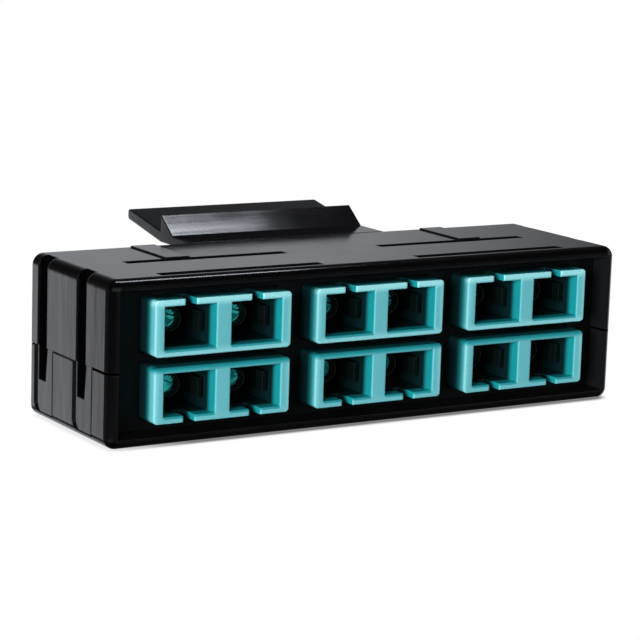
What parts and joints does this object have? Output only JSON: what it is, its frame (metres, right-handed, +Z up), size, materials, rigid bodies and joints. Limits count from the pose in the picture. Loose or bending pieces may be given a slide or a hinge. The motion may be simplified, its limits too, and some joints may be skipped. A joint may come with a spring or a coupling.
{
  "type": "fibre adapter panel",
  "caption": "Black moulded panel that holds rows of aqua duplex SC fibre adapters behind a recessed bezel, with side guide grooves and a rear release latch.",
  "frame": {"origin": "middle of the housing's underside", "axes": "+X across the panel to the right, +Y from the bezel to the back, +Z up"},
  "size_m": [0.1042, 0.0576, 0.0321],
  "materials": {
    "housing_black": "glossy moulded black",
    "plate_black": "satin moulded black",
    "adapter_aqua": "satin moulded aqua",
    "holder_teal": "satin moulded, very dark teal",
    "sleeve_ceramic": "smooth ground teal"
  },
  "bodies": {
    "housing": {"upper_shell": "housing_black", "lower_shell": "housing_black", "adapter_plate": "plate_black", "bottom_left_front_housing": "adapter_aqua", "bottom_left_rear_housing": "adapter_aqua", "bottom_centre_front_housing": "adapter_aqua", "bottom_centre_rear_housing": "adapter_aqua", "bottom_right_front_housing": "adapter_aqua", "bottom_right_rear_housing": "adapter_aqua", "top_left_front_housing": "adapter_aqua", "top_left_rear_housing": "adapter_aqua", "top_centre_front_housing": "adapter_aqua", "top_centre_rear_housing": "adapter_aqua", "top_right_front_housing": "adapter_aqua", "top_right_rear_housing": "adapter_aqua", "bottom_left_left_port_front_holder": "holder_teal", "bottom_left_left_port_rear_holder": "holder_teal", "bottom_left_right_port_front_holder": "holder_teal", "bottom_left_right_port_rear_holder": "holder_teal", "bottom_centre_left_port_front_holder": "holder_teal", "bottom_centre_left_port_rear_holder": "holder_teal", "bottom_centre_right_port_front_holder": "holder_teal", "bottom_centre_right_port_rear_holder": "holder_teal", "bottom_right_left_port_front_holder": "holder_teal", "bottom_right_left_port_rear_holder": "holder_teal", "bottom_right_right_port_front_holder": "holder_teal", "bottom_right_right_port_rear_holder": "holder_teal", "top_left_left_port_front_holder": "holder_teal", "top_left_left_port_rear_holder": "holder_teal", "top_left_right_port_front_holder": "holder_teal", "top_left_right_port_rear_holder": "holder_teal", "top_centre_left_port_front_holder": "holder_teal", "top_centre_left_port_rear_holder": "holder_teal", "top_centre_right_port_front_holder": "holder_teal", "top_centre_right_port_rear_holder": "holder_teal", "top_right_left_port_front_holder": "holder_teal", "top_right_left_port_rear_holder": "holder_teal", "top_right_right_port_front_holder": "holder_teal", "top_right_right_port_rear_holder": "holder_teal", "bottom_left_left_port_split_sleeve": "sleeve_ceramic", "bottom_left_right_port_split_sleeve": "sleeve_ceramic", "bottom_centre_left_port_split_sleeve": "sleeve_ceramic", "bottom_centre_right_port_split_sleeve": "sleeve_ceramic", "bottom_right_left_port_split_sleeve": "sleeve_ceramic", "bottom_right_right_port_split_sleeve": "sleeve_ceramic", "top_left_left_port_split_sleeve": "sleeve_ceramic", "top_left_right_port_split_sleeve": "sleeve_ceramic", "top_centre_left_port_split_sleeve": "sleeve_ceramic", "top_centre_right_port_split_sleeve": "sleeve_ceramic", "top_right_left_port_split_sleeve": "sleeve_ceramic", "top_right_right_port_split_sleeve": "sleeve_ceramic"},
    "latch": {"release_latch": "housing_black"}
  },
  "joints": [
    {"name": "latch_press", "type": "hinge", "parent": "housing", "child": "latch", "pos_m": [0, 0.0152, 0.02705], "axis": [-1, 0, 0], "range_deg": [0, 12], "stiffness_Nm_per_rad": 1.2}
  ]
}
